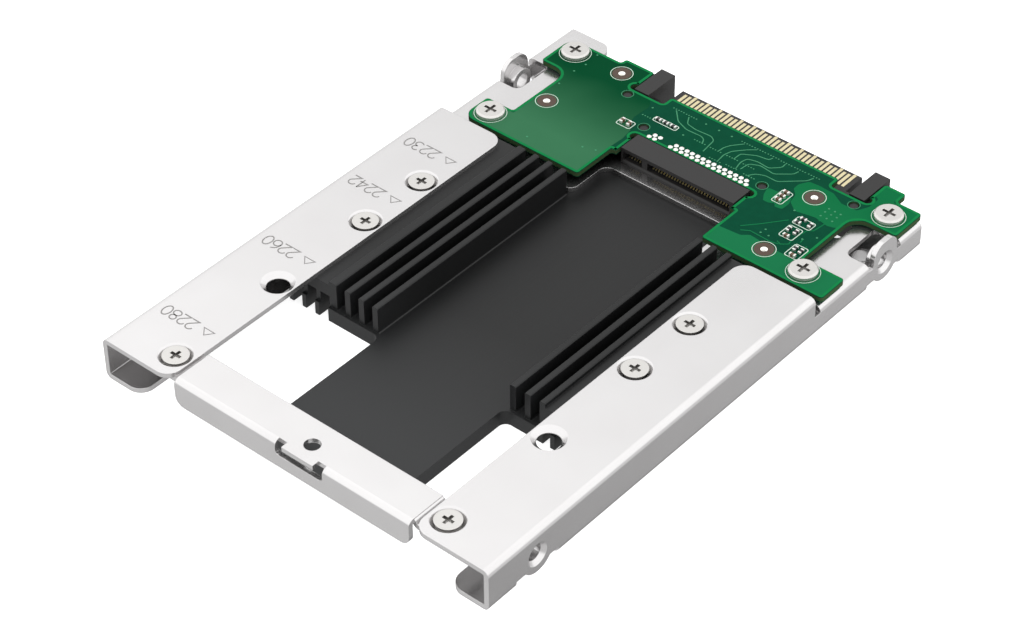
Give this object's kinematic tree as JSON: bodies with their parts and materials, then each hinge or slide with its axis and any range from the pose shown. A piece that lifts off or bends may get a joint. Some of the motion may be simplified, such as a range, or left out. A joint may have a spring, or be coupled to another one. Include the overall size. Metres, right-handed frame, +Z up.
{
  "type": "solid-state card carrier",
  "caption": "Folded steel drive tray that holds a solid-state card over a finned black heatsink, with a green adapter board and a drive plug at the rear.",
  "frame": {"origin": "middle of the carrier's footprint, on its underside", "axes": "+X to the right seen from the card end, +Y along the carrier towards the drive plug, +Z up"},
  "size_m": [0.0698, 0.1002, 0.007],
  "materials": {
    "tray_steel": "zinc plated sheet, satin",
    "bar_steel": "zinc plated sheet, satin",
    "heatsink_black": "black anodised extrusion",
    "board_laminate": "green solder mask on glass laminate",
    "connector_black": "moulded, fine matt",
    "contact_gold": "gold plated",
    "solder": "reflowed solder",
    "screw_steel": "nickel plated",
    "chip_brown": "fired ceramic",
    "chip_black": "glazed ceramic",
    "chip_tin": "tinned end"
  },
  "bodies": {
    "root": {"tray": "tray_steel", "front_bar": "bar_steel", "heatsink": "heatsink_black", "circuit_board": "board_laminate", "plug_housing": "connector_black", "socket_housing": "connector_black", "plug_upper_contacts": "contact_gold", "plug_signal_contacts": "contact_gold", "plug_lane_contacts": "contact_gold", "plug_power_contacts": "contact_gold", "socket_upper_contacts": "contact_gold", "socket_lower_contacts": "contact_gold", "socket_solder": "solder", "bar_screws": "screw_steel", "heatsink_screws": "screw_steel", "board_screws": "screw_steel", "capacitor_bodies": "chip_brown", "resistor_bodies": "chip_black", "link_bodies": "chip_black", "capacitor_caps": "chip_tin", "resistor_caps": "chip_tin", "link_caps": "chip_tin"}
  },
  "joints": []
}
